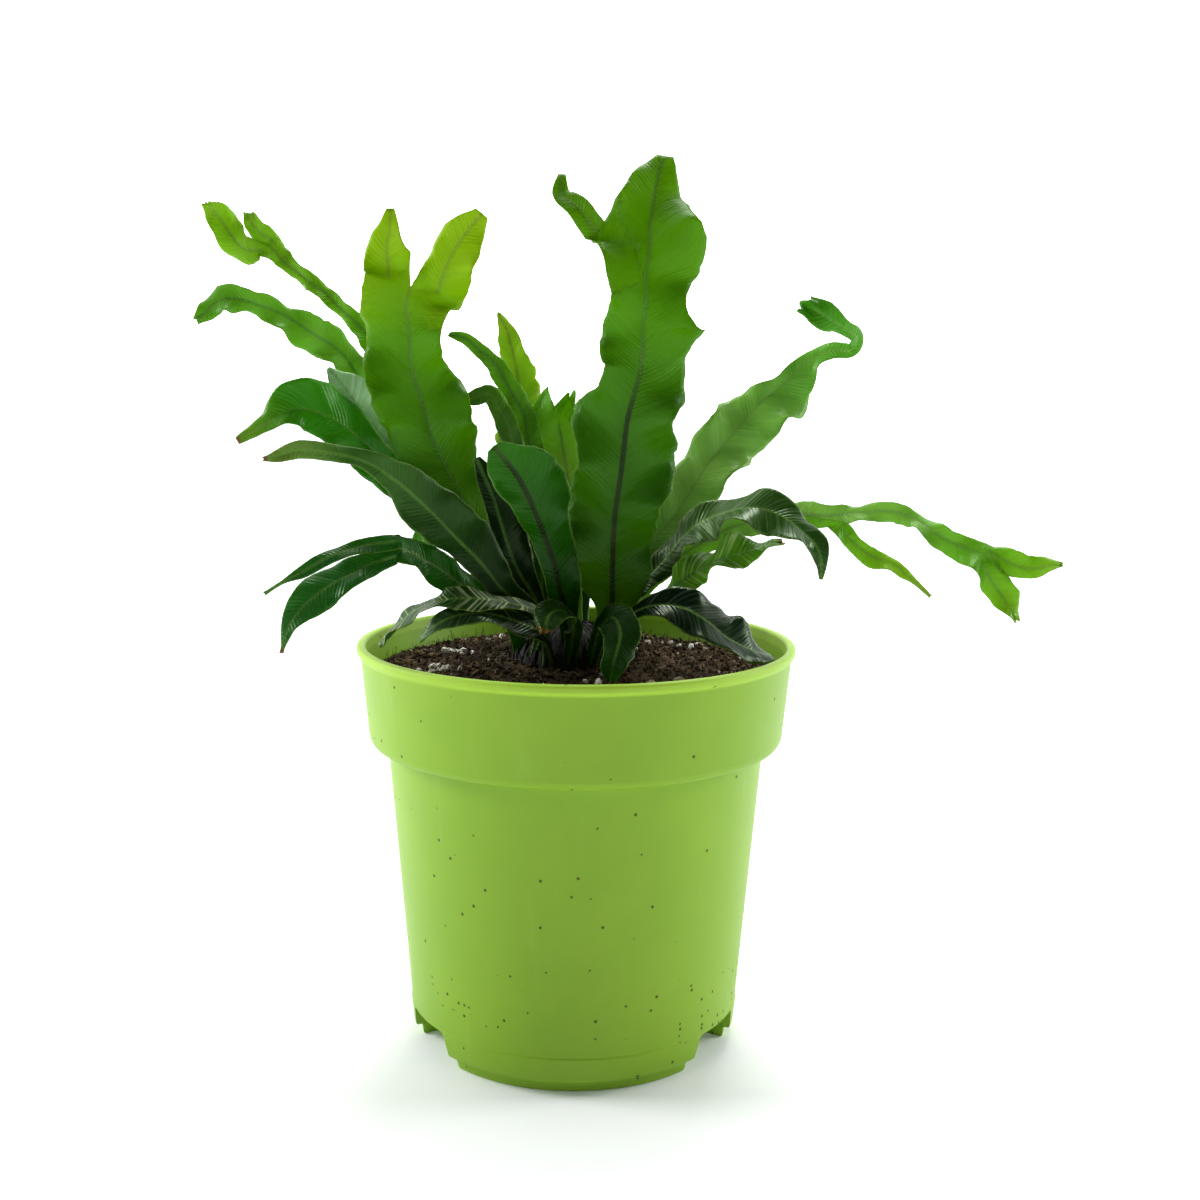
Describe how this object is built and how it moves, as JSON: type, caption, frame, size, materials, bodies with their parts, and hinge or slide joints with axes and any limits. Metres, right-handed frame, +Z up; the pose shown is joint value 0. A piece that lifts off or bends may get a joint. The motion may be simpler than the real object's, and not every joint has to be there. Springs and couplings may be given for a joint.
{
  "type": "potted birds nest fern",
  "caption": "Wavy, crested bird's nest fern in a round plastic nursery pot filled with peat, standing on the pot's flat foot.",
  "frame": {"origin": "on the ground at the middle of the pot's flat foot", "axes": "+Z up along the pot's axis, -Y towards the side seen in the picture, +X to its right"},
  "size_m": [0.232, 0.1392, 0.2391],
  "materials": {
    "pot_plastic": "satin",
    "peat": "matte",
    "crown_scales": "matte",
    "leaf_bright": "satin",
    "leaf_mid": "satin",
    "leaf_deep": "glossy",
    "leaf_grey": "satin"
  },
  "bodies": {
    "root": {"pot": "pot_plastic", "soil": "peat", "crown": "crown_scales", "frond_tall": "leaf_bright", "frond_forked": "leaf_bright", "frond_right": "leaf_mid", "frond_droop_right": "leaf_deep", "frond_far_right": "leaf_bright", "frond_crumpled": "leaf_bright", "frond_back_crest": "leaf_bright", "frond_back_narrow": "leaf_bright", "frond_back_ribbon": "leaf_bright", "frond_small_left": "leaf_deep", "frond_grey_curl": "leaf_grey", "frond_front": "leaf_mid", "frond_dark": "leaf_deep", "frond_left": "leaf_mid", "frond_gloss": "leaf_deep", "frond_ribbon_high": "leaf_bright", "frond_ribbon_low": "leaf_bright", "frond_droop_left": "leaf_mid", "frond_striped": "leaf_mid", "frond_low_left": "leaf_deep", "frond_front_curl": "leaf_mid", "frond_front_droop": "leaf_mid", "frond_low_right": "leaf_deep", "frond_rear": "leaf_mid", "frond_rear_left": "leaf_mid", "frond_rear_low": "leaf_deep", "frond_rear_right": "leaf_mid"}
  },
  "joints": []
}
